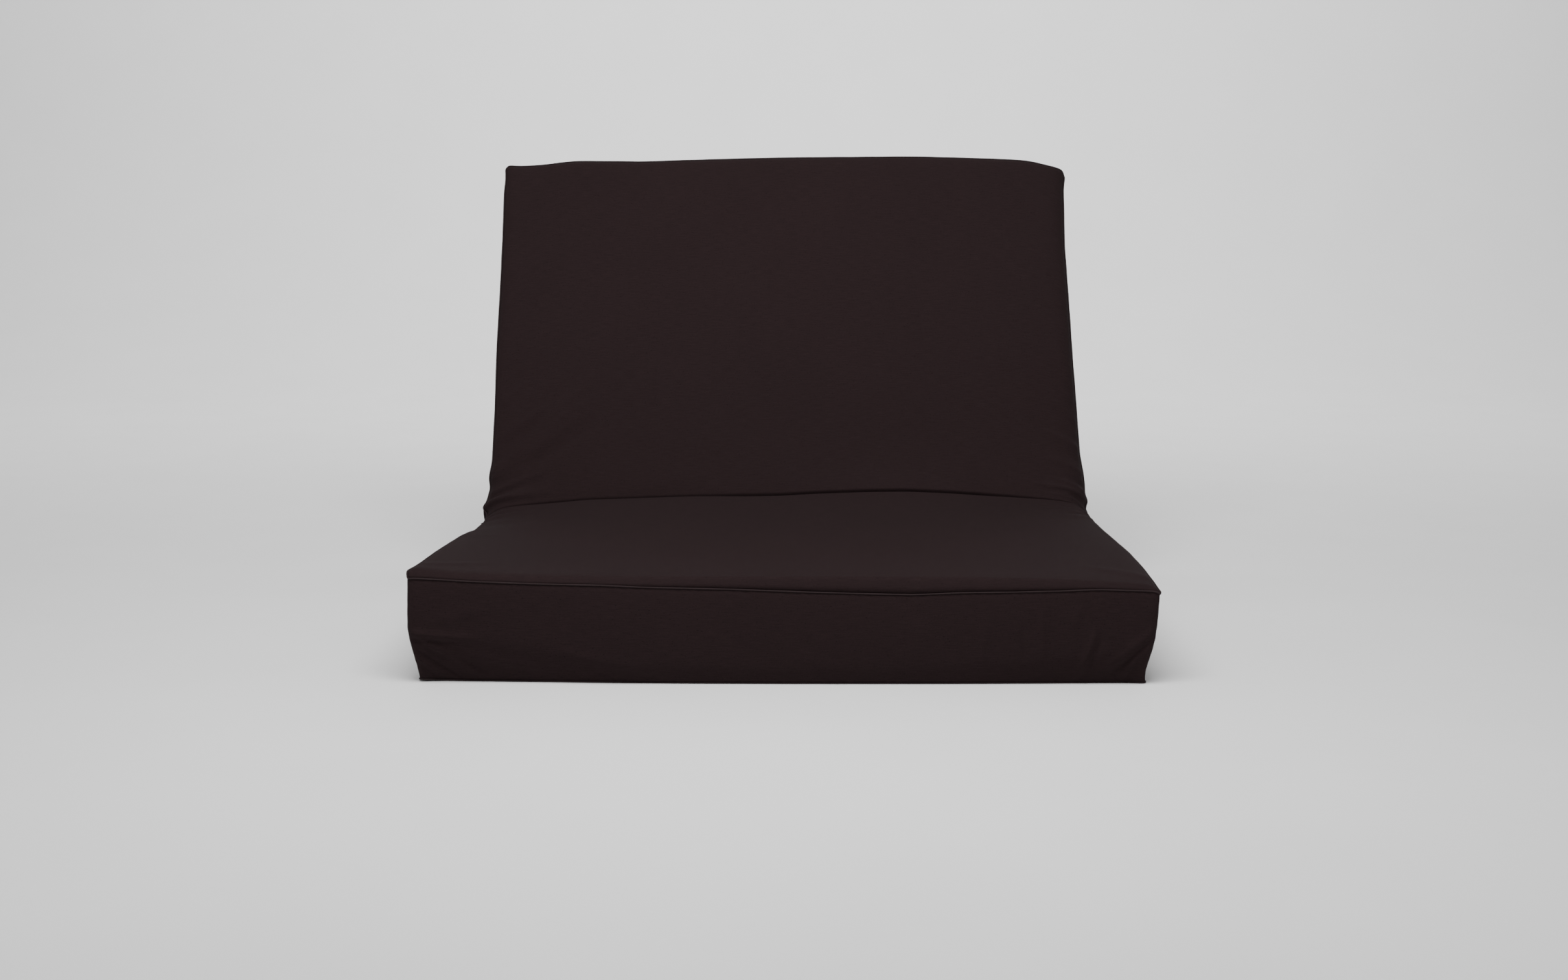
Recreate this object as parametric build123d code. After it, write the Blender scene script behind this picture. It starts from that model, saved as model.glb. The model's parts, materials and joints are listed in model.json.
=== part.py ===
"""Full-size futon mattress in a zip-off cover, folded as a lounger: a seat section and a reclined back section.

Millimetres. +X is the viewer's right as the sofa is faced, +Y runs from the front edge to the back, and +Z is up.
The origin is on the surface the seat lies on, under the middle of the whole mattress. The mattress bends about one
line across its underside, where the back section meets the seat section.

Both sections are drawn flat, as a bed, with the bend line at y = 0 and z = 0: the seat section lies at y < 0 and the
back section at y > 0. The back section is then turned up about the bend line, and everything moves to the origin.
"""

import os

from build123d import *
from math import cos, radians, sin, tan

# ---- driving dimensions ----
WIDTH = 1372.0  # 54 in, the standard full size
SEAT_LENGTH = 902.0  # along the underside, from the front edge to the bend line
BACK_LENGTH = 1003.0  # along the underside, from the bend line to the head end
THICKNESS = 190.0
OPEN_ANGLE = 120.0  # between seat and back, as stored
CLOSED_ANGLE = 105.0  # the tightest angle the sections can be folded to

COVER = 1.5  # cover fabric
COVER_EASE = 6.5  # between cover and ticking, where the tufts stand
TICKING = 1.0  # inner casing fabric
GAP = 0.5  # between layers
COTTON_OUTER = 27.0
COTTON_MIDDLE = 19.0
FOAM = 48.0
BEND_CLEARANCE = 1.0  # each section's end face stands this far back from the bend line
FOLD_GAP = 0.3  # between the fold's own pieces and the sections

TUFT_COLUMNS = 5
SEAT_TUFT_ROWS = (240.0, 490.0, 740.0)  # distances from the bend line
BACK_TUFT_ROWS = (250.0, 530.0, 810.0)
TUFT_RADIUS = 16.0
TUFT_THICKNESS = 5.5
TWINE_RADIUS = 1.5
TWINE_HOLE_RADIUS = 3.0

ZIP_SLOT = 16.0  # between the edges of the two head boxing strips, along the chain
BOXING_JOIN = 0.2  # between them past the zipper's ends
TAPE_WIDTH = 16.0
TAPE_THICKNESS = 0.7
TAPE_DEPTH = 2.2  # the tape's mid-plane below the outside of the boxing
COIL_RADIUS = 1.4
COIL_GAP = 0.2
ZIP_LENGTH = 1240.0
SLIDER_LENGTH = 17.0
SLIDER_WIDTH = 11.0
PLATE = 1.3  # slider plate thickness
PULL_LENGTH = 34.0
PULL_WIDTH = 8.0
PULL_THICKNESS = 1.8

LABEL_WIDTH = 60.0
LABEL_LENGTH = 90.0
LABEL_THICKNESS = 0.6

# ---- what follows from them ----
FOLD_TURN = 180.0 - OPEN_ANGLE  # how far the back is turned up from flat
REST_SLOPE = tan(radians(FOLD_TURN / 2))  # of the plane that halves the fold, as stored
END_ANGLE = radians((180.0 - CLOSED_ANGLE) / 2)  # of each section's end face, from square
INNER = COVER + COVER_EASE  # depth of the ticking's outside below the cover's
CORE = INNER + TICKING + GAP  # depth of the padding below the cover's outside
HALF_WIDTH = WIDTH / 2
ZIP_HEIGHT = THICKNESS / 2  # of the chain's centreline
TAPE_Y = BACK_LENGTH - TAPE_DEPTH
SLIDER_X = ZIP_LENGTH / 2 - SLIDER_LENGTH / 2  # the slider's middle, closed


def layer_heights():
    """The lowest and highest z of the five padding layers, from the underside up."""
    heights = []
    z = CORE
    for thick in (COTTON_OUTER, FOAM, COTTON_MIDDLE, FOAM, COTTON_OUTER):
        heights.append((z, z + thick))
        z += thick + GAP
    return heights


def end_face(z, clearance=BEND_CLEARANCE):
    """Distance of a section's sloping end face from the bend line at height z."""
    return clearance / cos(END_ANGLE) + z * tan(END_ANGLE)


def prism(points, x_low, x_high):
    """A solid between two x planes, from (y, z) points round its outline."""
    face = Plane.YZ * make_face(Polyline(*points, close=True))
    return extrude(face, x_high - x_low, dir=(1, 0, 0)).translate((x_low, 0, 0))


def block(low, high):
    """A box between two corners."""
    size = [b - a for a, b in zip(low, high)]
    return Box(*size, align=(Align.MIN, Align.MIN, Align.MIN)).translate(tuple(low))


def section_slab(side, length, z_low, z_high, inset=0.0, past_end=0.0):
    """A slab of one section between two heights. side is -1 for the seat and +1 for the back.

    inset is how far its edges stand in from the cover's outside, and past_end how far it runs past the end face.
    """
    points = [
        (side * (length - inset), z_low),
        (side * (end_face(z_low) - past_end), z_low),
        (side * (end_face(z_high) - past_end), z_high),
        (side * (length - inset), z_high),
    ]
    return prism(points, -HALF_WIDTH + inset, HALF_WIDTH - inset)


def tuft_places(side, rows):
    """Where the tufts go through a section, as (x, y)."""
    pitch = WIDTH / TUFT_COLUMNS
    columns = [(i - (TUFT_COLUMNS - 1) / 2) * pitch for i in range(TUFT_COLUMNS)]
    return [(x, side * row) for row in rows for x in columns]


def posts(places, radius, z_low, z_high):
    """Upright cylinders at the places given."""
    height = z_high - z_low
    one = Cylinder(radius, height, align=(Align.CENTER, Align.CENTER, Align.MIN))
    return [one.translate((x, y, z_low)) for x, y in places]


def drilled(solid, places):
    """The solid with a hole for the tuft twine at each place."""
    return solid - posts(places, TWINE_HOLE_RADIUS, -1, THICKNESS + 1)


def cover_panels(side, length):
    """The cover's large panels and side boxing of one section: top, bottom, left, right."""
    middle = [
        (side * (length - COVER), COVER),
        (side * end_face(COVER), COVER),
        (side * end_face(THICKNESS - COVER), THICKNESS - COVER),
        (side * (length - COVER), THICKNESS - COVER),
    ]
    top = section_slab(side, length, THICKNESS - COVER, THICKNESS)
    bottom = section_slab(side, length, 0, COVER)
    left = prism(middle, -HALF_WIDTH, -HALF_WIDTH + COVER)
    right = prism(middle, HALF_WIDTH - COVER, HALF_WIDTH)
    return top, bottom, left, right


def end_boxing(side, length, z_low, z_high):
    """A strip of boxing across a section's far end."""
    y_low, y_high = sorted((side * length, side * (length - COVER)))
    return block((-HALF_WIDTH, y_low, z_low), (HALF_WIDTH, y_high, z_high))


def ticking(side, length, places):
    """The inner casing of one section: a hollow shell, open where it runs on into the fold."""
    wall = INNER + TICKING
    outside = section_slab(side, length, INNER, THICKNESS - INNER, INNER)
    inside = section_slab(side, length, wall, THICKNESS - wall, wall, past_end=20.0)
    return drilled(outside - inside, places)


def padding(side, length, places):
    """The five padding layers of one section, from the underside up."""
    return [
        drilled(section_slab(side, length, low, high, CORE), places)
        for low, high in layer_heights()
    ]


def tufts(places, z_low):
    """Round felt tufts with softened rims, standing on the ticking."""
    disc = Cylinder(TUFT_RADIUS, TUFT_THICKNESS, align=(Align.CENTER, Align.CENTER, Align.MIN))
    disc = fillet(disc.edges().filter_by(GeomType.CIRCLE), TUFT_THICKNESS * 0.4)
    return [disc.translate((x, y, z_low)) for x, y in places]


def fold_outline(z_low, z_high):
    """Outline of one layer of the fold, between the two sections' end faces as stored."""

    def seat_side(z):
        return -end_face(z, BEND_CLEARANCE - FOLD_GAP), z

    def back_side(z):
        turn = radians(FOLD_TURN)
        y = end_face(z, BEND_CLEARANCE - FOLD_GAP)
        return y * cos(turn) - z * sin(turn), y * sin(turn) + z * cos(turn)

    def halfway(z):
        return -z * REST_SLOPE, z

    return [
        seat_side(z_low),
        halfway(z_low),
        back_side(z_low),
        back_side(z_high),
        halfway(z_high),
        seat_side(z_high),
    ]


def fold_prism(z_low, z_high, x_low, x_high):
    return prism(fold_outline(z_low, z_high), x_low, x_high)


def fold_pieces():
    """What bends between the two sections: cover, ticking and padding, as they lie in the stored fold."""
    inside = HALF_WIDTH - COVER
    wall = INNER + TICKING
    casing = HALF_WIDTH - INNER
    tube = fold_prism(INNER, THICKNESS - INNER, -casing, casing)
    tube -= fold_prism(wall, THICKNESS - wall, -HALF_WIDTH + wall, HALF_WIDTH - wall)
    return {
        "cover_fold_crease": fold_prism(THICKNESS - COVER, THICKNESS, -HALF_WIDTH, HALF_WIDTH),
        "cover_fold_underside": fold_prism(0, COVER, -HALF_WIDTH, HALF_WIDTH),
        "cover_fold_side_left": fold_prism(COVER, THICKNESS - COVER, -HALF_WIDTH, -inside),
        "cover_fold_side_right": fold_prism(COVER, THICKNESS - COVER, inside, HALF_WIDTH),
        "fold_ticking": tube,
        "fold_padding": fold_prism(CORE, THICKNESS - CORE, -HALF_WIDTH + CORE, HALF_WIDTH - CORE),
    }


def seat_pieces():
    places = tuft_places(-1, SEAT_TUFT_ROWS)
    top, bottom, left, right = cover_panels(-1, SEAT_LENGTH)
    layers = padding(-1, SEAT_LENGTH, places)
    return {
        "cover_seat_top": top,
        "cover_seat_underside": bottom,
        "cover_seat_side_left": left,
        "cover_seat_side_right": right,
        "cover_front_boxing": end_boxing(-1, SEAT_LENGTH, COVER, THICKNESS - COVER),
        "seat_ticking": ticking(-1, SEAT_LENGTH, places),
        "seat_cotton_lower": layers[0],
        "seat_foam_lower": layers[1],
        "seat_cotton_middle": layers[2],
        "seat_foam_upper": layers[3],
        "seat_cotton_upper": layers[4],
        "seat_tuft_twine": posts(places, TWINE_RADIUS, INNER, THICKNESS - INNER),
        "seat_tufts_upper": tufts(places, THICKNESS - INNER),
        "seat_tufts_lower": tufts(places, INNER - TUFT_THICKNESS),
    }


def head_boxing():
    """The two strips across the head end: they meet past the zipper's ends and stand apart along its chain."""
    slot = block(
        (-ZIP_LENGTH / 2 - ZIP_SLOT, BACK_LENGTH - 2 * COVER, ZIP_HEIGHT - ZIP_SLOT / 2),
        (ZIP_LENGTH / 2 + ZIP_SLOT, BACK_LENGTH + COVER, ZIP_HEIGHT + ZIP_SLOT / 2),
    )
    rear = end_boxing(1, BACK_LENGTH, COVER, ZIP_HEIGHT - BOXING_JOIN / 2)
    front = end_boxing(1, BACK_LENGTH, ZIP_HEIGHT + BOXING_JOIN / 2, THICKNESS - COVER)
    return {"cover_head_boxing_rear": rear - slot, "cover_head_boxing_front": front - slot}


def zip_side(sign):
    """The tape and the coil on one side of the chain; sign is +1 towards the top panel."""
    half = ZIP_LENGTH / 2
    near = ZIP_HEIGHT + sign * (COIL_GAP / 2 + COIL_RADIUS)
    far = ZIP_HEIGHT + sign * TAPE_WIDTH
    z_low, z_high = sorted((near + sign * COIL_RADIUS, far))
    tape = block(
        (-half, TAPE_Y - TAPE_THICKNESS / 2, z_low),
        (half, TAPE_Y + TAPE_THICKNESS / 2, z_high),
    )
    chain_end = SLIDER_X + 3.0
    coil = Cylinder(COIL_RADIUS, half + chain_end, rotation=(0, 90, 0))
    return tape, coil.translate(((chain_end - half) / 2, TAPE_Y, near))


def zip_stops():
    """The stop that joins both coils at the open end, and one on each coil at the closed end."""
    reach = COIL_GAP / 2 + 2 * COIL_RADIUS
    thick = COIL_RADIUS + 0.5
    half = ZIP_LENGTH / 2
    both = block(
        (-half - 5.0, TAPE_Y - thick, ZIP_HEIGHT - reach),
        (-half - 0.5, TAPE_Y + thick, ZIP_HEIGHT + reach),
    )
    singles = []
    for sign in (-1, 1):
        z_low, z_high = sorted((ZIP_HEIGHT + sign * 0.8, ZIP_HEIGHT + sign * reach))
        singles.append(block((half + 0.8, TAPE_Y - thick, z_low), (half + 4.0, TAPE_Y + thick, z_high)))
    return [both, *singles]


def zip_slider():
    """Two plates round the chain, joined by the wedge that parts the coils, with a bail for the pull."""
    room = COIL_RADIUS + 0.5  # from the tape's mid-plane to a plate
    centre_x, long, wide = SLIDER_X, SLIDER_LENGTH, SLIDER_WIDTH

    def plate(y_low):
        flat = Plane.XZ * (Pos(centre_x, ZIP_HEIGHT) * RectangleRounded(long, wide, wide * 0.3))
        return extrude(flat, PLATE, dir=(0, 1, 0)).translate((0, y_low, 0))

    wedge = block(
        (centre_x + 3.5, TAPE_Y - room - 0.2, ZIP_HEIGHT - 1.4),
        (centre_x + long / 2 - 1.0, TAPE_Y + room + 0.2, ZIP_HEIGHT + 1.4),
    )
    outside = TAPE_Y + room + PLATE
    arch = block((centre_x - 3.5, outside - 0.2, ZIP_HEIGHT - 1.1), (centre_x + 3.5, outside + 4.2, ZIP_HEIGHT + 1.1))
    eye = block((centre_x - 2.1, outside, ZIP_HEIGHT - 2), (centre_x + 2.1, outside + 2.8, ZIP_HEIGHT + 2))
    return plate(TAPE_Y - room - PLATE) + plate(TAPE_Y + room) + wedge + (arch - eye)


def pull_pivot():
    """(x, y, z) of the axis that the pull turns about, in the flat frame."""
    room = COIL_RADIUS + 0.5
    return SLIDER_X, TAPE_Y + room + PLATE + 1.4, ZIP_HEIGHT


def zip_pull():
    """A flat tab looped through the slider's bail, lying back along the closed chain."""
    x, y, z = pull_pivot()
    far = x - PULL_LENGTH
    near = x + 0.9
    middle = (far + near) / 2
    flat = Plane.XZ * (Pos(middle, z) * RectangleRounded(near - far, PULL_WIDTH, 1.0))
    tab = extrude(flat, PULL_THICKNESS, dir=(0, 1, 0)).translate((0, y - PULL_THICKNESS / 2, 0))
    window = block((x - 9.0, y - 3, z - 1.6), (x - 0.9, y + 3, z + 1.6))
    grip = Cylinder(1.9, 8.0, rotation=(90, 0, 0)).translate((far + 4.5, y, z))
    return tab - window - grip


def law_label():
    """A blank sewn-in label, flat in the ease between ticking and cover on the rear face."""
    x_low = HALF_WIDTH - INNER - 140.0
    y_low = BACK_LENGTH - INNER - 60.0 - LABEL_LENGTH
    z_high = INNER - 1.0
    return block(
        (x_low, y_low, z_high - LABEL_THICKNESS),
        (x_low + LABEL_WIDTH, y_low + LABEL_LENGTH, z_high),
    )


def back_pieces():
    places = tuft_places(1, BACK_TUFT_ROWS)
    front, rear, left, right = cover_panels(1, BACK_LENGTH)
    layers = padding(1, BACK_LENGTH, places)
    tape_front, coil_front = zip_side(1)
    tape_rear, coil_rear = zip_side(-1)
    return {
        "cover_back_front": front,
        "cover_back_rear": rear,
        "cover_back_side_left": left,
        "cover_back_side_right": right,
        **head_boxing(),
        "zipper_tape_front": tape_front,
        "zipper_tape_rear": tape_rear,
        "zipper_coil_front": coil_front,
        "zipper_coil_rear": coil_rear,
        "zipper_stops": zip_stops(),
        "zipper_slider": zip_slider(),
        "zipper_pull": zip_pull(),
        "back_ticking": ticking(1, BACK_LENGTH, places),
        "back_cotton_rear": layers[0],
        "back_foam_rear": layers[1],
        "back_cotton_middle": layers[2],
        "back_foam_front": layers[3],
        "back_cotton_front": layers[4],
        "back_tuft_twine": posts(places, TWINE_RADIUS, INNER, THICKNESS - INNER),
        "back_tufts_front": tufts(places, THICKNESS - INNER),
        "back_tufts_rear": tufts(places, INNER - TUFT_THICKNESS),
        "law_label": law_label(),
    }


def as_one(piece):
    """A list of separate solids as one compound; anything else as it is."""
    return Compound(children=[p.solid() for p in piece]) if isinstance(piece, list) else piece


def main():
    turn = radians(FOLD_TURN)
    bend_y = (SEAT_LENGTH - BACK_LENGTH * cos(turn)) / 2
    to_origin = Location((0, bend_y, 0))
    turned_up = to_origin * Location((0, 0, 0), (FOLD_TURN, 0, 0))
    os.makedirs("parts", exist_ok=True)
    for place, pieces in (
        (to_origin, seat_pieces()),
        (to_origin, fold_pieces()),
        (turned_up, back_pieces()),
    ):
        for name, piece in pieces.items():
            export_step(as_one(piece).moved(place), f"parts/{name}.step")
    x, y, z = pull_pivot()
    pivot = (x, y * cos(turn) - z * sin(turn) + bend_y, y * sin(turn) + z * cos(turn))
    print("bend line", (0, bend_y, 0))
    print("pull pivot", pivot)


main()
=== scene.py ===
"""Looks for the folded futon mattress.

The cover is one sewn bag, relaxed over its padding and cut into the CAD's panels. Inside it are ticking,
cotton and foam, and a zipper closes it at the head end. A point is first given as it would lie on a flat bed,
as across, along and up (x, v, h): x from the middle, v from the bend line with the seat below 0, h from the
underside. form() carries it to the row frame. Sizes are metres. Only the lines and folds read off the
photograph are millimetres.
"""

import json
from math import cos, pi, radians, sin, tan

import bpy
import numpy as np
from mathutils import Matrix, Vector


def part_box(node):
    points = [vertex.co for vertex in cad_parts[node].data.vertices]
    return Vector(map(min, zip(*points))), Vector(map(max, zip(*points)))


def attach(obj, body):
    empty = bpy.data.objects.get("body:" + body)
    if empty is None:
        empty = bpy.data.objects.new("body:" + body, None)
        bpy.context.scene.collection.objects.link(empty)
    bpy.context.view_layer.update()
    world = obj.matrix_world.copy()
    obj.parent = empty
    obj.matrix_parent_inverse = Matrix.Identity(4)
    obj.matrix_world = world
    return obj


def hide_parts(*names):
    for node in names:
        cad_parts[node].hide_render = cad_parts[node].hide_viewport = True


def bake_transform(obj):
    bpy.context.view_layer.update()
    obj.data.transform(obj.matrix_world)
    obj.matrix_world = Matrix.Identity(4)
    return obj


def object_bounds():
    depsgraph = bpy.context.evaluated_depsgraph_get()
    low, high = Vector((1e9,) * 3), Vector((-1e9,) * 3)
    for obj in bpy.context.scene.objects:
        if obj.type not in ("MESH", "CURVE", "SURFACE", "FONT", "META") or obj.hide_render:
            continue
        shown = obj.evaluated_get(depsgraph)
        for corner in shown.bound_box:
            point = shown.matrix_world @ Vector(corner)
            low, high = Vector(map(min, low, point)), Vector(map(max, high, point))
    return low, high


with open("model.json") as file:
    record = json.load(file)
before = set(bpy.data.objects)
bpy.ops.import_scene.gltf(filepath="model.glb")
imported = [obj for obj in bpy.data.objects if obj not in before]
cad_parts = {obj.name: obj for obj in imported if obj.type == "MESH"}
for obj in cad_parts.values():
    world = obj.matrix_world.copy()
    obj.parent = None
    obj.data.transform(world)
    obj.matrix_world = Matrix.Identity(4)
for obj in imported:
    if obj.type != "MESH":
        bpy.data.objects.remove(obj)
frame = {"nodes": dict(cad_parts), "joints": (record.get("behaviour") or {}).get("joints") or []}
CAD_BOX = [list(map(float, corner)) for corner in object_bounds()]

# ---- the frame's own sizes, in metres ----
BEND_Y = next(j for j in frame["joints"] if j["name"] == "fold")["pos_m"][1]
TURN = radians(60.0)  # how far the back is turned up from flat, as stored
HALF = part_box("cover_seat_top")[1].x
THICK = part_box("cover_seat_top")[1].z
SEAT = BEND_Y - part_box("cover_seat_underside")[0].y
BACK = (CAD_BOX[1][2] - THICK * cos(TURN)) / sin(TURN)
MID = THICK / 2
ZIP_U = BACK - 0.0022  # the zipper tapes' mid-plane, along the back
SLOT_HALF = HALF - 0.050  # half the length of the opening for the zipper
SLOT_EDGE = 0.008  # from the opening's middle to its edges
CLOTH = 0.0014  # thickness of the cover's cloth
TINY = 1e-9  # lengths and distances below this are none
EDGE_ON = 1e-6  # a station this near to a face of the box is on it

rng = np.random.default_rng(7)


# ---- small helpers ----
def smooth(t):
    t = np.clip(t, 0.0, 1.0)
    return t * t * (3.0 - 2.0 * t)


def quarter(t, square=2.0):
    """0 at 0 with a steep start, 1 from 1 on: a rolled edge, more box-like as square grows."""
    t = np.clip(t, 0.0, 1.0)
    return np.clip(1.0 - (1.0 - t) ** square, 0.0, 1.0) ** (1.0 / square)


def profile(blur, *pairs):
    """A smooth line through (place, value) pairs given in millimetres, as a function in metres."""
    place, value = np.array(pairs, float).T / 1000
    grid = np.linspace(place[0], place[-1], 801)
    line = np.interp(grid, place, value)
    reach = max(1, int(blur / 1000 / (grid[1] - grid[0])))
    kernel = np.hanning(2 * reach + 3)[1:-1]
    padded = np.pad(line, reach, mode="reflect", reflect_type="odd")
    line = np.convolve(padded, kernel / kernel.sum(), "valid")
    return lambda at: np.interp(at, grid, line)


def ridge(a, b, start, end, wide, high):
    """A soft ridge along a line on the cloth, fading at both ends. Millimetres in, metres out."""
    start, end = np.array(start) / 1000, np.array(end) / 1000
    along = end - start
    length = np.hypot(*along)
    t = ((a - start[0]) * along[0] + (b - start[1]) * along[1]) / length**2
    off = ((a - start[0]) * along[1] - (b - start[1]) * along[0]) / length
    fade = smooth((t + 0.15) / 0.35) * smooth((1.15 - t) / 0.5)
    return high / 1000 * np.exp(-((off / (wide / 1000)) ** 2)) * fade


# ---- the cover's lines as it lies: (place, value) pairs, the place across or along ----
CREASE = profile(
    16, (-686, 172), (-660, 190), (-642, 198), (-582, 207), (-449, 221), (-211, 230), (-10, 235),
    (75, 241), (190, 246), (276, 247), (376, 242), (503, 231), (600, 220), (650, 212), (686, 188),
)
FRONT_SEAM = profile(
    25, (-686, 197), (-607, 196), (-440, 190), (-340, 188), (-249, 184), (-100, 181), (37, 176),
    (140, 173), (237, 171), (330, 175), (418, 176), (500, 178), (573, 181), (640, 179), (686, 178),
)
SEAT_LEFT = profile(
    40, (0, 172), (60, 169), (142, 169), (307, 182), (380, 192), (640, 207), (790, 213), (902, 216),
)
SEAT_RIGHT = profile(40, (0, 190), (100, 190), (275, 195), (594, 202), (727, 200), (849, 193), (902, 186))
SEAT_MID = profile(60, (0, 236), (100, 230), (300, 217), (600, 209), (800, 205), (902, 203))
BACK_LEFT = profile(40, (0, 172), (80, 172), (250, 182), (500, 188), (900, 190), (1003, 188))
BACK_RIGHT = profile(40, (0, 188), (100, 186), (300, 187), (900, 190), (1003, 187))
BACK_MID = profile(60, (0, 236), (100, 229), (300, 214), (600, 206), (900, 200), (1003, 196))
WIDE_LEFT = profile(
    14, (-902, 697), (-600, 693), (-300, 688), (-142, 689), (-60, 686), (0, 692), (50, 687), (79, 693),
    (126, 685), (153, 682), (190, 684), (232, 680), (382, 682), (515, 686), (665, 687), (805, 689),
    (941, 693), (1003, 689),
)
WIDE_RIGHT = profile(
    20, (-902, 697), (-600, 694), (-300, 690), (-100, 691), (0, 692), (124, 692), (206, 689), (267, 685),
    (384, 684), (516, 682), (648, 681), (811, 679), (916, 683), (1003, 686),
)
LEAN_LEFT = profile(60, (0, 16), (150, 9), (300, 4), (450, 0), (600, 0), (1000, 1))
LEAN_RIGHT = profile(60, (0, 24), (100, 22), (380, 12), (500, 8), (700, 4), (1000, 0))
UNDER_TURN = profile(
    60, (-686, 104), (-500, 80), (-350, 50), (-200, 33), (0, 26), (300, 31), (500, 48), (686, 70),
)
HEAD_END = profile(
    25, (-686, 13), (-600, 17), (-521, 27), (-352, 24), (-150, 31), (0, 35), (321, 38), (556, 32),
    (605, 28), (657, 14), (686, 2),
)
# soft folds in the cloth: from a place to a place, width, height. A place is across and along, and on the
# front across and up.
BACK_FOLDS = (
    ((-662, 195), (-440, 385), 22, 3.6), ((-600, 205), (-450, 315), 18, -2.6),
    ((-677, 283), (-547, 367), 9, 2.2), ((-660, 262), (-560, 330), 8, -1.8),
    ((-570, 315), (-450, 425), 13, 2.0), ((-612, 250), (-490, 338), 9, -1.6),
    ((-684, 190), (-596, 276), 9, 3.0), ((-688, 160), (-636, 222), 7, 2.6),
    ((-688, 176), (-620, 246), 6, -2.0), ((-672, 372), (-610, 424), 9, 1.6),
    ((-684, 120), (-560, 176), 10, 3.0), ((-684, 100), (-600, 132), 8, -2.4),
    ((-640, 290), (-560, 440), 26, 1.6), ((690, 128), (605, 152), 8, 3.4),
    ((690, 150), (630, 172), 6, -2.6), ((688, 190), (605, 224), 8, 3.4),
    ((688, 226), (630, 250), 6, -2.6), ((688, 262), (600, 300), 9, 3.6),
    ((688, 282), (640, 312), 6, -2.4), ((684, 330), (615, 384), 12, 2.2), ((692, 70), (640, 84), 9, -4.6),
    ((688, 100), (560, 124), 12, 2.6), ((684, 420), (640, 520), 16, 1.4),
    ((500, 560), (420, 800), 60, 1.2), ((-300, 520), (-180, 820), 70, 1.2),
    ((-688, 560), (-640, 700), 18, 1.4), ((-560, 985), (-300, 940), 30, 1.2),
)
SEAT_FOLDS = (
    ((-684, -120), (-560, -175), 15, 3.0), ((-684, -200), (-590, -290), 20, 2.6),
    ((686, -110), (580, -160), 12, 3.0), ((686, -150), (620, -200), 8, -2.0),
    ((686, -190), (610, -260), 14, 2.5), ((-684, -835), (-560, -800), 16, 2.2),
    ((684, -850), (560, -790), 18, 2.6), ((-684, -420), (-600, -500), 24, 1.6),
    ((250, -640), (420, -300), 80, 1.5),
)
FRONT_FOLDS = (
    ((-690, 100), (-560, 88), 7, 3.4), ((-690, 86), (-600, 78), 5, -2.4),
    ((-662, 88), (-560, 10), 6, 3.6), ((-676, 66), (-606, 6), 5, -3.2), ((-684, 56), (-630, 8), 5, 3.2),
    ((-650, 66), (-540, 14), 6, -2.4), ((-600, 60), (-430, 26), 9, 2.4),
    ((-640, 120), (-520, 150), 12, 1.6), ((684, 112), (590, 18), 9, 2.6), ((676, 84), (620, 16), 6, -3.2),
    ((660, 60), (640, 6), 5, 2.6), ((572, 110), (556, 10), 6, 2.8), ((586, 96), (572, 12), 5, -2.2),
    ((540, 150), (530, 110), 8, 1.8), ((470, 142), (482, 36), 9, 2.0), ((440, 120), (452, 30), 7, -1.2),
    ((368, 130), (372, 36), 10, 1.6), ((250, 120), (246, 30), 13, 1.2), ((-400, 60), (-230, 22), 10, 2.0),
    ((20, 60), (120, 26), 12, 1.0),
)
SQUEEZE = 0.30  # how far from the bend the inner cloth is gathered


def mix(a, b, t):
    return a + (b - a) * t


def panel_height(x, v):
    """How high the inner panel stands over the underside, its rolled edges aside."""
    far = np.abs(v)
    right = smooth((x + 0.25) / 0.5)
    seat = mix(SEAT_LEFT(far), SEAT_RIGHT(far), right)
    back = mix(BACK_LEFT(far), BACK_RIGHT(far), right)
    centre = 1.0 - np.abs(x / HALF) ** 3.8
    height = np.where(v < 0, mix(seat, SEAT_MID(far), centre), mix(back, BACK_MID(far), centre))
    return mix(height, CREASE(x), np.exp(-((far / 0.17) ** 2)))


def insets(x, v):
    """How far each point is from the nearest side of the box, and from its own section's end."""
    return HALF - np.abs(x), np.where(v < 0, SEAT + v, BACK - v)


def heights(x, v, up, on_back):
    """How high each point lies: the inner panel rolls down to its seams, and the underside up to its own."""
    left, seat = x < 0, v < 0
    side_in, end_in = insets(x, v)
    to_corner = side_in**2 + end_in**2
    height = panel_height(x, v) + 0.004 * left * seat * np.exp(-(to_corner / 0.07**2))
    side_drop = mix(np.where(left, 0.007, 0.012), np.where(left, 0.013, 0.034), on_back)
    side_roll = mix(np.where(left, 0.024, 0.034), np.where(left, 0.024, 0.050), on_back)
    front_drop = np.maximum(panel_height(x, -SEAT + 0 * x) - FRONT_SEAM(x), 0.004)
    end_drop = np.where(seat, front_drop, 0.011)
    end_roll = np.where(seat, 0.023, 0.032)
    boxy = np.where(seat, 2.0 + 2.6 * smooth((x + 0.35) / 0.3), 2.0)
    at_side = side_drop * (1 - quarter(side_in / side_roll))
    at_end = end_drop * (1 - quarter(end_in / end_roll, boxy))
    z_top = height - np.hypot(at_side, at_end)
    z_low = mix(0.0022, 0.008, on_back) * (1.0 - quarter(side_in / 0.036) * quarter(end_in / 0.036))
    z_low = z_low + 0.0025 * np.exp(-(to_corner / 0.05**2)) * (left & seat)
    return z_low + (z_top - z_low) * up


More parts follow.
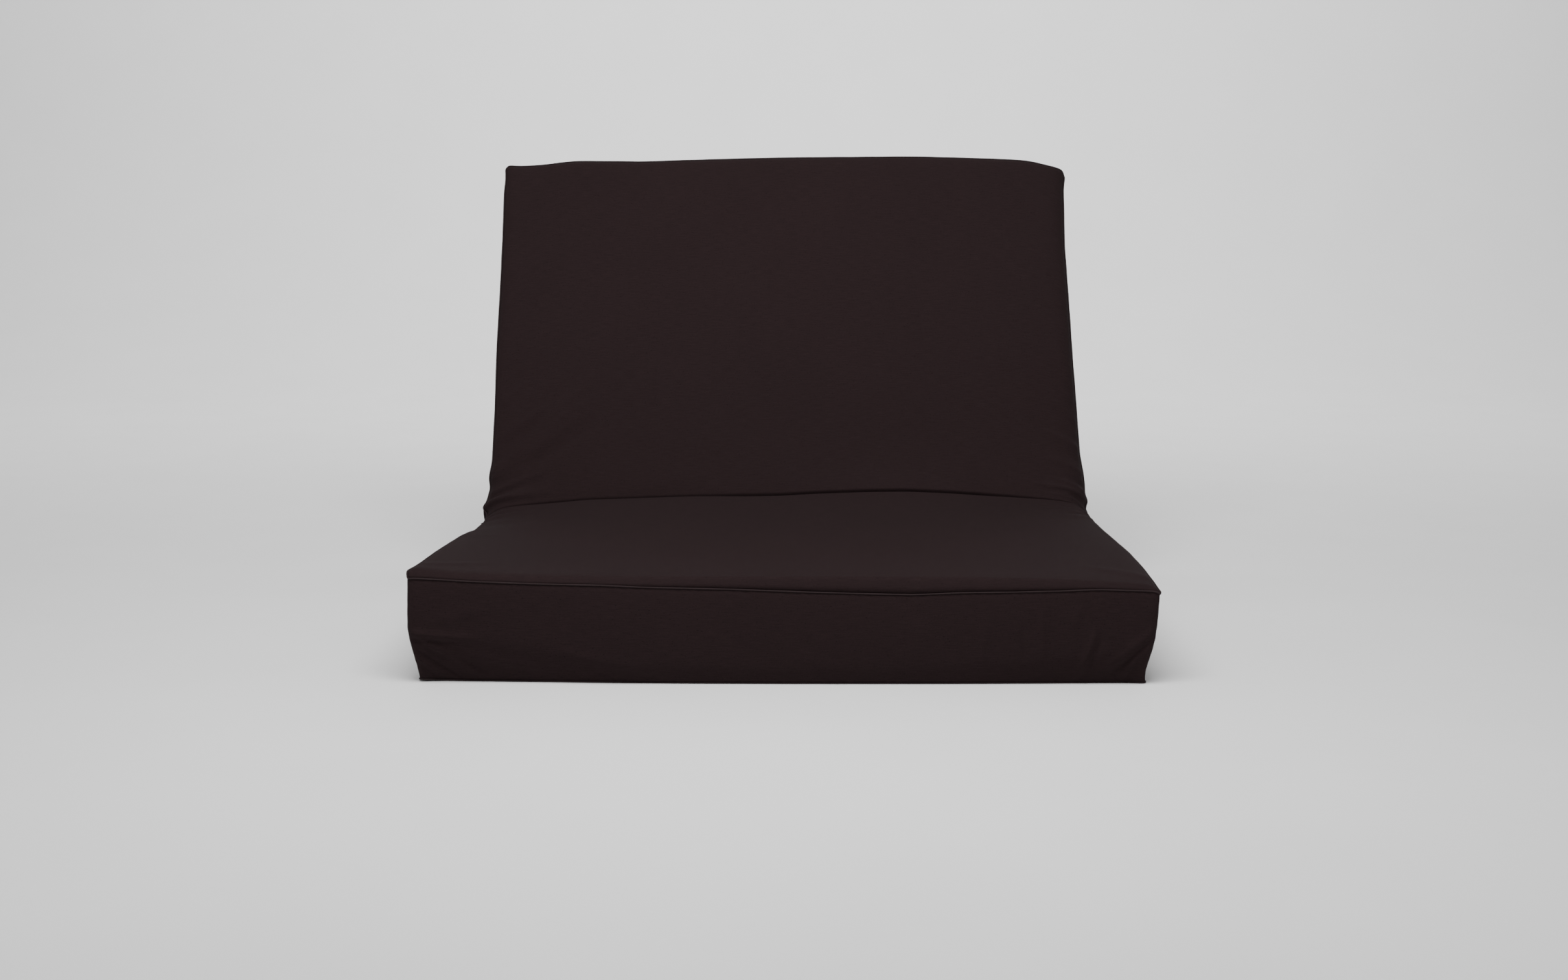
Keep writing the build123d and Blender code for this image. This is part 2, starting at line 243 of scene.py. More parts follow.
def outline(x, v, up, z, on_back):
    """Where each point stands in plan: the boxing bulges between its seams, leans, and tucks under."""
    left, seat = x < 0, v < 0
    side_in, end_in = insets(x, v)
    belly = np.sin(pi * np.clip(up, 0, 1)) ** 0.7
    lean = mix(np.where(left, LEAN_LEFT(up), LEAN_RIGHT(up)), 0.012 * (1.0 - up) ** 1.6, on_back)
    half_x = np.where(left, WIDE_LEFT(v), WIDE_RIGHT(v)) - lean - 0.004 * (1.0 - belly)
    turn_at = UNDER_TURN(x)
    under = (0.004 + 0.24 * turn_at) * np.clip((turn_at - z) / turn_at, 0, 1) ** 1.2
    swell = HEAD_END(x) * smooth((up - 0.57) / 0.33)
    rear_lean = 0.012 * np.clip(1.0 - up / 0.44, 0, 1) ** 1.5
    half_v = np.where(seat, SEAT - 0.006 - under + 0.006 * belly, BACK + swell - rear_lean)
    px = np.abs(x) / HALF * half_x
    pv = np.abs(v) / np.where(seat, SEAT, BACK) * half_v

    # the upright corners are rounded between the seams
    round_radius = 0.007 + np.where(seat, 0.009, 0.014) * belly
    dx, dv = half_x - px, half_v - pv
    on_side, on_end = side_in < EDGE_ON, end_in < EDGE_ON
    angle = np.where(on_side, pi / 4 * (1 - dv / round_radius), pi / 2 - pi / 4 * (1 - dx / round_radius))
    near = (on_side & (dv < round_radius)) | (on_end & (dx < round_radius))
    px = np.where(near, half_x - round_radius + round_radius * np.cos(angle), px)
    pv = np.where(near, half_v - round_radius + round_radius * np.sin(angle), pv)

    # square-cut corners stand out as small ears at the seams
    corner = np.exp(-((side_in**2 + end_in**2) / 0.022**2)) * np.abs(2 * up - 1) ** 6
    ear = np.where(seat & (up > 0.5), 0.0015, 0.005) + 0.002 * (~left & seat & (up < 0.5))
    return px + ear * corner, pv + np.minimum(ear, 0.005) * corner


def form(x, v, h, turn):
    """The cover's shape: flat-bed coordinates to the row frame, with the back turned up by the angle turn."""
    seat = v < 0
    up = h / THICK
    on_back = smooth((v + 0.06) / 0.12)
    z = heights(x, v, up, on_back)
    px, pv = outline(x, v, up, z, on_back)

    # the inner cloth gathers towards the crease and rolls into it
    slope = tan(turn / 2)
    gather = np.clip(1.0 - pv / SQUEEZE, 0.0, 1.0) ** 2
    q = pv - z * slope * (1.0 - gather)
    right = smooth((x + 0.25) / 0.2)
    roll = np.where(seat, 0.003 + 0.006 * right * smooth((0.62 - x) / 0.2), 0.0035)
    depth = 0.010 + 0.012 * np.exp(-((insets(x, v)[0] / 0.06) ** 2))
    z = z * (1.0 - depth / THICK * (1.0 - quarter(q / roll)))
    # the seat sinks a little just in front of the crease, where the back lies over it
    z = z - 0.003 * up * seat * np.exp(-(((q - 0.02) / 0.03) ** 2)) * right * smooth((0.6 - x) / 0.2)
    along = q + z * slope
    y0 = np.where(seat, -along, along * cos(turn) - z * sin(turn))
    z0 = np.where(seat, z, along * sin(turn) + z * cos(turn))
    return np.stack([np.sign(x) * px, BEND_Y + y0, z0], axis=-1)


# ---- the cover as one sewn bag, then its cloth left to settle over the padding ----
LEFT, RIGHT, FRONT, HEAD, UNDERSIDE, INNER = range(6)  # the box's sides


def lattice(xs, vs, hs):
    """Points and faces of a box's surface on three lists of stations, with each face's side of the box."""
    nx, ny, nz = len(xs) - 1, len(vs) - 1, len(hs) - 1
    index, points, faces, tags = {}, [], [], []

    def at(i, j, k):
        key = (i, j, k)
        if key not in index:
            index[key] = len(points)
            points.append(key)
        return index[key]

    def add(tag, *corners):
        faces.append([at(*c) for c in corners])
        tags.append(tag)

    for j in range(ny):
        for k in range(nz):
            add(LEFT, (0, j, k), (0, j, k + 1), (0, j + 1, k + 1), (0, j + 1, k))
            add(RIGHT, (nx, j, k), (nx, j + 1, k), (nx, j + 1, k + 1), (nx, j, k + 1))
    for i in range(nx):
        for k in range(nz):
            add(FRONT, (i, 0, k), (i + 1, 0, k), (i + 1, 0, k + 1), (i, 0, k + 1))
            add(HEAD, (i, ny, k), (i, ny, k + 1), (i + 1, ny, k + 1), (i + 1, ny, k))
    for i in range(nx):
        for j in range(ny):
            add(UNDERSIDE, (i, j, 0), (i, j + 1, 0), (i + 1, j + 1, 0), (i + 1, j, 0))
            add(INNER, (i, j, nz), (i + 1, j, nz), (i + 1, j + 1, nz), (i, j + 1, nz))
    keys = np.array(points)
    flat = np.stack([xs[keys[:, 0]], vs[keys[:, 1]], hs[keys[:, 2]]], axis=-1)
    return flat, np.array(faces), np.array(tags)


# the stations across, along and up. Beside a seam they lie closer, and the zipper's opening is from 87 to 103
EDGE = np.array([0.0, 0.006, 0.013, 0.022, 0.035])
XS = np.concatenate([-HALF + EDGE, np.linspace(-SLOT_HALF, SLOT_HALF, 83), (HALF - EDGE)[::-1]])
VS = np.concatenate([
    -SEAT + EDGE, np.linspace(-SEAT + 0.05, -0.17, 46, endpoint=False), np.linspace(-0.17, 0.17, 29),
    np.linspace(0.17, BACK - 0.05, 53)[1:], (BACK - EDGE)[::-1],
])
HS = np.array([0, 12, 26, 42, 58, 73, 87, 95, 103, 117, 132, 148, 164, 178, 190]) / 190 * THICK
FLAT, FACES, TAGS = lattice(XS, VS, HS)
BASE = form(*FLAT.T, TURN)
ACROSS_FOLD = np.array((0, cos(TURN / 2), sin(TURN / 2)))  # from the seat to the back, square to the fold
ALONG_FOLD = np.array((0, -sin(TURN / 2), cos(TURN / 2)))  # from the bend line up that plane
INTO_BACK = np.array((0, -sin(TURN), cos(TURN)))  # from the back's rear face forwards


def neighbours(faces, count):
    """Each point's neighbours along edges and across faces, padded with the point itself."""
    straight = np.concatenate([faces[:, [k, (k + 1) % 4]] for k in range(4)])
    straight = np.unique(np.sort(straight, axis=1), axis=0)
    across = np.concatenate([faces[:, [0, 2]], faces[:, [1, 3]]])
    tables = []
    for pairs in (straight, across):
        both = np.concatenate([pairs, pairs[:, ::-1]])
        both = both[np.argsort(both[:, 0], kind="stable")]
        first = np.searchsorted(both[:, 0], np.arange(count))
        place = np.arange(len(both)) - first[both[:, 0]]
        table = np.tile(np.arange(count)[:, None], (1, place.max() + 1))
        table[both[:, 0], place] = both[:, 1]
        tables.append(table)
    return tables


def normals_of(points, faces):
    n = np.cross(points[faces[:, 2]] - points[faces[:, 0]], points[faces[:, 3]] - points[faces[:, 1]])
    out = np.zeros_like(points)
    for k in range(4):
        for c in range(3):
            out[:, c] += np.bincount(faces[:, k], n[:, c], len(points))
    return out / np.maximum(np.linalg.norm(out, axis=1, keepdims=True), TINY)


def relax(base, cut, loose, held, steps):
    """Cloth on padding: it keeps the lengths it was cut to, gives way outwards, and bends only so sharply.

    Where loose is 1 the cloth is as long as in cut, and where it is 0 as long as in base. Where held is 1 it
    doesn't move. The answer is how far each point has moved, and which way is out.
    """
    snug, ease = 1.0012, 1.010  # how much longer the cloth is than in base, and than in cut
    pull, bend, carry = 0.6, 0.04, 0.85  # towards its own length, against bending, and on from the last step
    from_in, from_out, from_side = 0.012, 0.0006, 0.002  # the share of its way a point is drawn back
    unevenness, evenings = 0.0012, 6  # of the cloth at the start, and how often that is smoothed
    straight, across = neighbours(FACES, len(base))
    table = np.concatenate([straight, across], axis=1)
    own = np.arange(len(base))[:, None]
    real = table != own
    lies = np.linalg.norm(base[table] - base[:, None], axis=2) * snug
    sewn = np.linalg.norm(cut[table] - cut[:, None], axis=2) * ease
    rest = mix(lies, sewn, (loose[table] + loose[:, None]) / 2)
    valence = real.sum(1, keepdims=True)
    straight_count = (straight != own).sum(1, keepdims=True)
    n0 = normals_of(base, FACES)
    d = rng.normal(0, 1, (len(base), 1))
    for _ in range(evenings):
        d = 0.4 * d + 0.6 * d[straight].sum(1) / straight.shape[1]
    d = d / d.std() * unevenness * n0
    last = d.copy()
    for _ in range(steps):
        d, last = d + carry * (d - last), d
        x = base + d
        gap = x[table] - x[:, None]
        length = np.maximum(np.linalg.norm(gap, axis=2), TINY)
        d = d + pull * (gap * ((1.0 - rest / length) * real)[..., None]).sum(1) / valence
        lap = (d[straight] - d[:, None]).sum(1) / straight_count
        d = d - bend * (lap[straight] - lap[:, None]).sum(1) / straight_count
        out = (d * n0).sum(1, keepdims=True)
        back = n0 * np.where(out < 0, from_in, from_out) * out
        d = (d - back - from_side * (d - n0 * out)) * (1.0 - held)
    return d, n0


def settle():
    """The cover's points after its cloth has settled, each section on its own side of the fold."""
    out_cap, in_cap = 0.016, 0.007  # how far a point may move outwards and inwards
    fold_gap = 0.0008  # from each section to the fold's middle plane
    rear_bulge = 0.002  # how far the back may stand out of its rear face
    cut_turn = radians(45.0)  # beside the fold the cloth is cut for the back turned up so far
    x, v, h = FLAT.T
    side_in, end_in = insets(x, v)
    loose = np.exp(-((side_in / 0.075) ** 2)) * smooth((0.36 - np.abs(v)) / 0.24)
    boxing = (side_in < EDGE_ON) | (end_in < EDGE_ON)
    loose = np.maximum(loose, 0.30 * boxing)
    by_zip = smooth((0.060 - np.abs(h - MID)) / 0.030) * smooth((0.68 - np.abs(x)) / 0.03)
    held = (BACK - v < EDGE_ON) * by_zip
    d, n0 = relax(BASE, form(x, v, h, cut_turn), loose, held[:, None], steps=280)
    size = np.linalg.norm(d, axis=1, keepdims=True)
    inward = np.clip(-(d * n0).sum(1, keepdims=True) / np.maximum(size, TINY), 0, 1)
    shape = BASE + d * np.minimum(1.0, mix(out_cap, in_cap, inward) / np.maximum(size, TINY))

    # each section stays on its own side of the fold's middle plane
    on_seat, on_back = v < -EDGE_ON, v > EDGE_ON
    over = (shape - (0, BEND_Y, 0)) @ ACROSS_FOLD
    too_far = np.where(on_back, np.minimum(over - fold_gap, 0), over)
    too_far = np.where(on_seat, np.maximum(over + fold_gap, 0), too_far)
    shape = shape - too_far[:, None] * ACROSS_FOLD
    # the seat stays on the floor, and the back near its rear face
    shape[:, 2] = np.where(~on_back, np.maximum(shape[:, 2], 0.0), shape[:, 2])
    depth = (shape - (0, BEND_Y, 0)) @ INTO_BACK
    return shape + np.where(on_back, np.maximum(-rear_bulge - depth, 0), 0)[:, None] * INTO_BACK


SHAPE = settle()


# ---- meshes ----
def new_object(name, points, faces, material=None):
    mesh = bpy.data.meshes.new(name)
    corners = [tuple(p) for p in np.asarray(points, float)]
    mesh.from_pydata(corners, [], [tuple(map(int, f)) for f in faces])
    mesh.update()
    mesh.shade_smooth()
    obj = bpy.data.objects.new(name, mesh)
    bpy.context.scene.collection.objects.link(obj)
    if material:
        mesh.materials.append(material)
    return obj


def put(obj, name, values):
    """Gives every point of obj a vector under that name."""
    attribute = obj.data.attributes.new(name, "FLOAT_VECTOR", "POINT")
    attribute.data.foreach_set("vector", np.ascontiguousarray(values, np.float32).ravel())


def read(mesh, name):
    """The points' vectors of that name, or their places for "co"."""
    values = np.zeros(len(mesh.vertices) * 3, np.float32)
    if name == "co":
        mesh.vertices.foreach_get("co", values)
    else:
        mesh.attributes[name].data.foreach_get("vector", values)
    return values.reshape(-1, 3).astype(float)


def finer(points, faces, cloth, flat, levels):
    """The same open panel with its faces split and smoothed, its corners kept."""
    obj = new_object("finer", points, faces)
    put(obj, "cloth", cloth)
    put(obj, "flat", flat)
    split = obj.modifiers.new("split", "SUBSURF")
    split.levels = split.render_levels = levels
    split.boundary_smooth = "PRESERVE_CORNERS"
    mesh = bpy.data.meshes.new_from_object(obj.evaluated_get(bpy.context.evaluated_depsgraph_get()))
    quads = np.array([tuple(p.vertices) for p in mesh.polygons])
    out = read(mesh, "co"), quads, read(mesh, "cloth"), read(mesh, "flat")
    bpy.data.objects.remove(obj)
    bpy.data.meshes.remove(mesh)
    return out


def shell(points, faces, thick):
    """A closed sheet of that thickness under an open one: points and faces, the new points after the old."""
    n = normals_of(points, faces)
    count = len(points)
    edges = np.concatenate([faces[:, [k, (k + 1) % 4]] for k in range(4)])
    key = np.sort(edges, axis=1) @ (count, 1)
    _, first, times = np.unique(key, return_index=True, return_counts=True)
    rim = edges[first[times == 1]]
    sides = np.stack([rim[:, 1], rim[:, 0], rim[:, 0] + count, rim[:, 1] + count], axis=1)
    closed = np.concatenate([faces, faces[:, ::-1] + count, sides])
    return np.concatenate([points, points - n * thick]), closed


def follow_fold(obj):
    """Works out each point's angle about the bend line and bakes obj's transform into its mesh; the points
    are then put back where they were.
    """
    co = read(obj.data, "co")
    gap = co - (0, BEND_Y, 0)
    angle = np.arctan2(gap @ ACROSS_FOLD, gap @ ALONG_FOLD)
    obj.data.vertices.foreach_set("co", np.stack([0 * angle, angle, 0 * angle], 1).astype(np.float32).ravel())
    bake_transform(obj)
    obj.data.vertices.foreach_set("co", co.astype(np.float32).ravel())
    obj.data.update()


def arc(lines):
    """How far along each station of a line is, as it lies, in metres."""
    return np.concatenate([[0], np.cumsum(np.linalg.norm(np.diff(lines, axis=0), axis=1))])


# ---- materials ----
class Nodes:
    """A material's node tree, with a node made and wired in one call."""

    def __init__(self, name):
        self.material = bpy.data.materials.new(name)
        self.material.use_nodes = True
        self.tree = self.material.node_tree
        self.shader = self.tree.nodes["Principled BSDF"]

    def add(self, kind, inputs=(), **settings):
        node = self.tree.nodes.new(kind)
        for key, value in settings.items():
            setattr(node, key, value)
        for key, value in dict(inputs).items():
            self.set(node, key, value)
        return node

    def set(self, node, key, value):
        socket = node.inputs[key]
        if isinstance(value, bpy.types.NodeSocket):
            self.tree.links.new(value, socket)
        else:
            socket.default_value = value

    def math(self, operation, a, b=0.0):
        return self.add("ShaderNodeMath", {0: a, 1: b}, operation=operation).outputs[0]

    def noise(self, vector, scale, detail=2.0, rough=0.5):
        inputs = {"Vector": vector, "Scale": scale, "Detail": detail, "Roughness": rough}
        return self.add("ShaderNodeTexNoise", inputs).outputs["Fac"]

    def stretched(self, vector, scale):
        node = self.add("ShaderNodeVectorMath", {0: vector, 1: scale}, operation="MULTIPLY")
        return node.outputs["Vector"]

    def range(self, value, low, high, out_low, out_high):
        inputs = {"Value": value, "From Min": low, "From Max": high, "To Min": out_low, "To Max": out_high}
        return self.add("ShaderNodeMapRange", inputs).outputs["Result"]

    def shade(self, colour, factor):
        """colour times factor. The mix node's sockets 6, 7 and 2 are its colours A and B and its result."""
        inputs = {"Factor": 1.0, 6: colour, 7: factor}
        return self.add("ShaderNodeMix", inputs, data_type="RGBA", blend_type="MULTIPLY").outputs[2]

    def grey(self, tone):
        return self.add("ShaderNodeCombineColor", {0: tone, 1: tone, 2: tone}).outputs[0]

    def finish(self, **inputs):
        for key, value in inputs.items():
            self.set(self.shader, key.replace("_", " "), value)
        return self.material


def cloth_material(name, colour, thread, streak, fuzz, rough, bump, sheen, wear_and_highlight=0.0):
    """A woven cloth: crossed threads, slubs along the weft, heather, specks, and paler cloth towards the
    seams (partly wear, partly a painted highlight of the seam ridges).

    thread is the weave's pitch, streak and fuzz how far slubs and heather show. The last argument is how much
    paler the cloth is beside a seam: partly wear, partly a painted highlight of the seam's ridge.
    """
    n = Nodes(name)
    at = n.add("ShaderNodeAttribute", attribute_name="cloth").outputs["Vector"]
    parts = n.add("ShaderNodeSeparateXYZ", {0: at}).outputs
    slub = n.noise(n.stretched(at, (34.0, 640.0, 0.0)), 1.0, 3.0, 0.6)
    fine = n.noise(n.stretched(at, (160.0, 900.0, 0.0)), 1.0, 2.0, 0.6)
    heather = n.noise(n.stretched(at, (1.0, 1.0, 0.0)), 1400.0, 1.0, 0.5)
    broad = n.noise(n.stretched(at, (1.0, 1.0, 0.0)), 5.0, 3.0, 0.5)
    speck = n.noise(n.stretched(at, (260.0, 420.0, 0.0)), 1.0, 1.0, 0.4)
    warp = n.math("SINE", n.math("MULTIPLY", parts["X"], 2 * pi / thread))
    weft = n.math("SINE", n.math("MULTIPLY", parts["Y"], 2 * pi / thread))
    weave = n.math("MULTIPLY", warp, weft)
    tone = n.range(slub, 0.30, 0.72, 1.0 + streak, 1.0 - streak)
    tone = n.math("MULTIPLY", tone, n.range(fine, 0.3, 0.7, 0.93, 1.07))
    tone = n.math("MULTIPLY", tone, n.range(heather, 0.25, 0.75, 1.0 - fuzz, 1.0 + fuzz))
    tone = n.math("MULTIPLY", tone, n.range(broad, 0.3, 0.7, 0.978, 1.022))
    tone = n.math("MULTIPLY", tone, n.range(speck, 0.66, 0.74, 1.0, 0.62))
    tone = n.math("MULTIPLY", tone, n.range(weave, -1.0, 1.0, 0.965, 1.035))
    # paler within 12 mm of a seam: partly wear, partly a painted highlight of the seam's ridge
    tone = n.math("MULTIPLY", tone, n.range(parts["Z"], 0.0, 0.012, 1.0 + wear_and_highlight, 1.0))
    yarn = n.math("ADD", n.math("MULTIPLY", slub, 1.1), fine)
    relief = n.math("ADD", n.math("MULTIPLY", weave, 0.35), yarn)
    bumps = n.add("ShaderNodeBump", {"Strength": bump, "Distance": 0.0005, "Height": relief}).outputs[0]
    return n.finish(
        Base_Color=n.shade((*colour, 1), n.grey(tone)), Normal=bumps,
        Roughness=n.range(fine, 0.3, 0.7, rough - 0.04, rough + 0.04), Specular_IOR_Level=0.05,
        Sheen_Weight=sheen, Sheen_Roughness=0.5, Sheen_Tint=(*[min(1.0, 8 * c + 0.3) for c in colour], 1),
    )


def solid_material(name, colour, scale, spread, rough, bump, metallic=0.0, scratch=0.0):
    """A plain stuff with cloudy tone, pores or scratches, in the object's own coordinates.

    A higher scale gives smaller clouds. spread is how far their tone goes, scratch the same for scratches.
    """
    n = Nodes(name)
    at = n.add("ShaderNodeTexCoord").outputs["Object"]
    cloud = n.noise(at, scale, 4.0, 0.6)
    grain = n.noise(n.stretched(at, (1.0, 6.0, 1.0)), scale * 6, 2.0, 0.5)
    tone = n.range(cloud, 0.3, 0.7, 1 - spread, 1 + spread)
    tone = n.math("MULTIPLY", tone, n.range(grain, 0.3, 0.7, 1 - scratch, 1 + scratch))
    relief = n.math("ADD", cloud, grain)
    bumps = n.add("ShaderNodeBump", {"Strength": bump, "Distance": 0.0006, "Height": relief}).outputs[0]
    return n.finish(
        Base_Color=n.shade((*colour, 1), n.grey(tone)), Normal=bumps, Metallic=metallic,
        Roughness=n.range(cloud, 0.3, 0.7, rough - 0.06, rough + 0.06),
    )


# the cover is painted 12 % paler at its seams: partly wear, partly a painted highlight
COVER = cloth_material(
    "cover_cloth", (0.0176, 0.0108, 0.0114), thread=0.0011, streak=0.13, fuzz=0.10,
    rough=0.95, bump=0.35, sheen=0.02, wear_and_highlight=0.12,
)
# the seam's ridge has its own cloth about 1.6 times paler than the cover's: a painted highlight along the
# seams
SEAM_HIGHLIGHT_CLOTH = cloth_material(
    "seam_cloth", (0.028, 0.0195, 0.0203), thread=0.0011, streak=0.06, fuzz=0.06,
    rough=0.95, bump=0.2, sheen=0.03,
)
TICKING = cloth_material(
    "ticking_cloth", (0.62, 0.58, 0.50), thread=0.0009, streak=0.05, fuzz=0.04,
    rough=0.85, bump=0.25, sheen=0.1,
)
TAPE = cloth_material(
    "zip_tape_cloth", (0.020, 0.014, 0.0145), thread=0.0008, streak=0.05, fuzz=0.06,
    rough=0.8, bump=0.4, sheen=0.1,
)
LABEL = cloth_material(
    "label_cloth", (0.74, 0.73, 0.70), thread=0.0006, streak=0.03, fuzz=0.03,
    rough=0.8, bump=0.2, sheen=0.05,
)
COTTON = solid_material("cotton_batting", (0.70, 0.66, 0.57), 60.0, 0.12, rough=0.95, bump=0.8, scratch=0.08)
FOAM = solid_material("foam", (0.66, 0.60, 0.42), 700.0, 0.10, rough=0.9, bump=0.6)
TWINE = solid_material("twine", (0.55, 0.50, 0.42), 900.0, 0.15, rough=0.85, bump=0.6, scratch=0.12)
FELT = solid_material("felt", (0.50, 0.48, 0.45), 500.0, 0.18, rough=0.95, bump=0.8)
COIL = solid_material("zip_coil_nylon", (0.016, 0.012, 0.012), 800.0, 0.10, rough=0.38, bump=0.1)
METAL = solid_material(
    "zip_metal", (0.40, 0.385, 0.36), 260.0, 0.10, rough=0.34, bump=0.12, metallic=1.0, scratch=0.10,
)


# ---- the cover's pieces ----
def along_arc():
    """How far along the underside and the inner panel each v station lies, measured down the middle."""
    middle = np.abs(FLAT[:, 0] - XS[len(XS) // 2]) < TINY
    out = []
    for h in (0.0, THICK):
        line = np.flatnonzero(middle & (np.abs(FLAT[:, 2] - h) < TINY))
        line = line[np.argsort(FLAT[line, 1])]
        out.append(arc(BASE[line]))
    return out


LOW_ARC, TOP_ARC = along_arc()


def folds(kind, points, flat):
    """The height of the soft folds at each point of a panel."""
    x, v, _ = flat.T
    if kind == "top":
        back = sum(ridge(x, v, *fold) for fold in BACK_FOLDS) * (v > 0)
        return back + sum(ridge(x, v, *fold) for fold in SEAT_FOLDS) * (v < 0)
    if kind == "front":
        return sum(ridge(x, points[:, 2], *fold) for fold in FRONT_FOLDS)
    return 0 * x


def puckers(cloth):
    """The height of the small waves that the stitches draw up beside a seam."""
    along, from_seam = cloth[:, 0] + cloth[:, 1], cloth[:, 2]
    near = np.exp(-((from_seam / 0.011) ** 2)) * smooth(from_seam / 0.002)
    wave = np.sin(along * 2 * pi / 0.021 + 2.4 * np.sin(along * 23)) * (0.6 + 0.4 * np.sin(along * 61 + 1))
    return 0.0006 * near * wave


def panel(name, chosen, weave, replaced, body=None, kind="", levels=1):
    """One cut of the cover: lattice faces split finer, folded, puckered at the seams, and given thickness.

    It rides body when one is given. kind says which soft folds it has.
    """
    faces = FACES[chosen]
    used, index = np.unique(faces, return_inverse=True)
    corners = index.reshape(-1, 4)
    points, quads, cloth, flat = finer(SHAPE[used], corners, weave(used), FLAT[used], levels)
    high = puckers(cloth) + folds(kind, points, flat) * smooth(cloth[:, 2] / 0.010)
    points = points + normals_of(points, quads) * high[:, None]
    full, closed = shell(points, quads, CLOTH)
    obj = new_object(name, full, closed, COVER)
    put(obj, "cloth", np.concatenate([cloth, cloth]))
    if body:
        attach(obj, body)
    else:
        follow_fold(obj)
    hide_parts(*replaced)


def seam_distance(kind):
    """How far each lattice point is from its panel's nearest seam; kind is flat, side or end."""
    x, v, h = FLAT.T
    side, end = HALF - np.abs(x), np.minimum(SEAT + v, BACK - v)
    rise = np.minimum(h, THICK - h)
    return {"flat": np.minimum(side, end), "side": np.minimum(rise, end), "end": np.minimum(rise, side)}[kind]


def weave_of(kind, table=LOW_ARC):
    """Cloth coordinates of a panel's points: along the weft, along the warp, and from the seam."""

    def weave(used):
        x, v, h = FLAT[used].T
        far = np.interp(v, VS, table)
        first, second = {"flat": (x, far), "side": (far, h), "end": (x, h)}[kind]
        return np.stack([first, second, seam_distance(kind)[used]], axis=1)

    return weave


AT = FLAT[FACES].mean(1)
in_slot = (np.abs(AT[:, 0]) < SLOT_HALF) & (np.abs(AT[:, 2] - MID) < SLOT_EDGE)
head = (TAGS == HEAD) & ~in_slot
stands_for = ("cover_seat_top", "cover_fold_crease", "cover_back_front")
panel("cover_top", TAGS == INNER, weave_of("flat", TOP_ARC), stands_for, kind="top")
stands_for = ("cover_seat_underside", "cover_fold_underside", "cover_back_rear")
panel("cover_underside", TAGS == UNDERSIDE, weave_of("flat"), stands_for)
for side, tag in (("left", LEFT), ("right", RIGHT)):
    stands_for = [f"cover_{part}_side_{side}" for part in ("seat", "fold", "back")]
    panel("cover_side_" + side, TAGS == tag, weave_of("side"), stands_for)
panel("cover_front", TAGS == FRONT, weave_of("end"), ("cover_front_boxing",), "seat", "front", levels=2)
for strip, half in (("rear", AT[:, 2] < MID), ("front", AT[:, 2] > MID)):
    panel("cover_head_" + strip, head & half, weave_of("end"), ("cover_head_boxing_" + strip,), "back")


def tube(path, out, radius, sides_count, closed=True):
    """Points and faces of a tube along a path; out is a direction across it at each point."""
    count = len(path)
    ahead = np.roll(path, -1, 0) - np.roll(path, 1, 0)
    if not closed:
        ahead[0], ahead[-1] = path[1] - path[0], path[-1] - path[-2]
    ahead /= np.linalg.norm(ahead, axis=1, keepdims=True)
    first = out - ahead * (out * ahead).sum(1, keepdims=True)
    first /= np.maximum(np.linalg.norm(first, axis=1, keepdims=True), TINY)
    second = np.cross(ahead, first)
    turn = np.arange(sides_count) * 2 * pi / sides_count
    ring = first[:, None] * np.cos(turn)[None, :, None] + second[:, None] * np.sin(turn)[None, :, None]
    points = (path[:, None] + ring * np.broadcast_to(radius, count)[:, None, None]).reshape(-1, 3)
    rows = np.arange(count if closed else count - 1)
    faces = [
        (r * sides_count + k, r * sides_count + (k + 1) % sides_count,
         (r + 1) % count * sides_count + (k + 1) % sides_count, (r + 1) % count * sides_count + k)
        for r in rows for k in range(sides_count)
    ]
    if not closed:
        last = (count - 1) * sides_count
        faces += [tuple(range(sides_count))[::-1], tuple(range(last, last + sides_count))]
    return points, faces


def round_the_edge(h):
    """The lattice's points round the box at that height, in order, and which of them are its four corners."""
    x, v, z = FLAT.T
    edge = (HALF - np.abs(x) < TINY) | (SEAT + v < TINY) | (BACK - v < TINY)
    on = {tuple(np.round(FLAT[i, :2], 6)): i for i in np.flatnonzero((np.abs(z - h) < TINY) & edge)}

    def at(a, b):
        return on[(round(a, 6), round(b, 6))]

    order = [at(a, VS[0]) for a in XS] + [at(XS[-1], b) for b in VS[1:]]
    order += [at(a, VS[-1]) for a in XS[-2::-1]] + [at(XS[0], b) for b in VS[-2:0:-1]]
    corners = [at(a, b) for a in XS[[0, -1]] for b in VS[[0, -1]]]
    return np.array(order), np.isin(order, corners)


